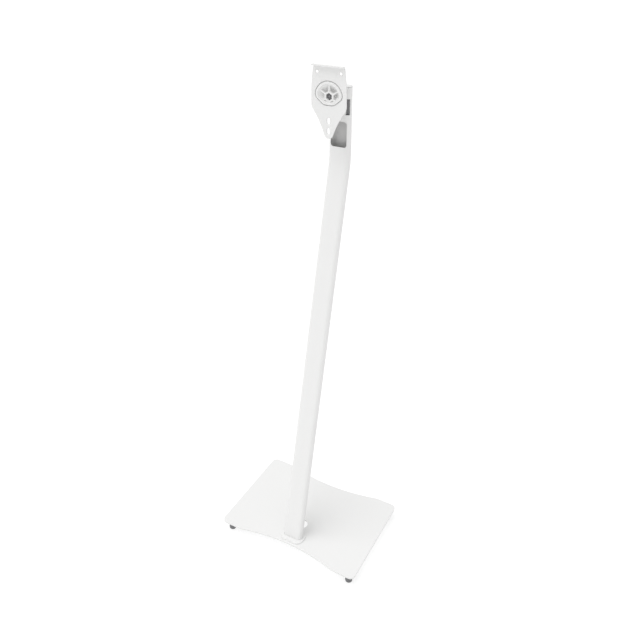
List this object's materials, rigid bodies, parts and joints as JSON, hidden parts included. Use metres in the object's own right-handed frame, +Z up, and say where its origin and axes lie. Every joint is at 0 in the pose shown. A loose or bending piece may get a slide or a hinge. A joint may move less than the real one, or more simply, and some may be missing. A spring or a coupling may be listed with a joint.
{
  "type": "customer pole display stand",
  "caption": "Free-standing customer display pole: weighted plate base on tall rubber feet, leaning flat-oval pole and a mounting plate that tilts and turns.",
  "frame": {"origin": "middle of the footprint on the floor: X and Y at the middle of the bounding box, Z at the underside of the feet", "axes": "+Z up; +X to the right of a customer who faces the stand; +Y away from that customer, so the mounting plate faces -Y"},
  "size_m": [0.35, 0.2616, 1.0721],
  "materials": {
    "white_paint": "satin powder coat",
    "white_plastic": "fine moulded satin",
    "foot_rubber": "matt moulded",
    "zinc_steel": "bright zinc plated",
    "dark_steel": "black oxide",
    "nylon": "natural nylon",
    "dark_plastic": "matt moulded"
  },
  "bodies": {
    "stand": {"base_plate": "white_paint", "foot_front_left": "foot_rubber", "foot_front_right": "foot_rubber", "foot_rear_left": "foot_rubber", "foot_rear_right": "foot_rubber", "foot_screw_front_left": "zinc_steel", "foot_screw_front_right": "zinc_steel", "foot_screw_rear_left": "zinc_steel", "foot_screw_rear_right": "zinc_steel", "pole_anchor": "zinc_steel", "anchor_washer_left": "zinc_steel", "anchor_washer_right": "zinc_steel", "anchor_bolt_left": "zinc_steel", "anchor_bolt_right": "zinc_steel", "foot_collar": "white_plastic", "pole_tube": "white_paint", "pole_cap": "white_plastic", "neck_insert": "dark_plastic", "neck_screw_upper": "zinc_steel", "neck_screw_lower": "zinc_steel", "head_arm": "white_paint", "arm_screw_upper": "zinc_steel", "arm_screw_lower": "zinc_steel", "tilt_bolt": "dark_steel", "tilt_nut": "dark_steel", "tilt_washer_left": "nylon", "tilt_washer_right": "nylon", "tilt_spacer": "zinc_steel"},
    "knuckle": {"tilt_knuckle": "white_plastic", "roll_washer": "nylon", "roll_bolt": "dark_steel"},
    "head": {"mount_plate": "white_paint", "hub": "white_plastic", "roll_nut": "dark_steel"}
  },
  "joints": [
    {"name": "head_tilt", "type": "hinge", "parent": "stand", "child": "knuckle", "pos_m": [0, 0.09919, 1.0153], "axis": [-1, 0, 0], "range_deg": [-15, 45]},
    {"name": "head_roll", "type": "hinge", "parent": "knuckle", "child": "head", "pos_m": [0, 0.07919, 1.0153], "axis": [0, 1, 0], "range_deg": [-90, 90]}
  ]
}
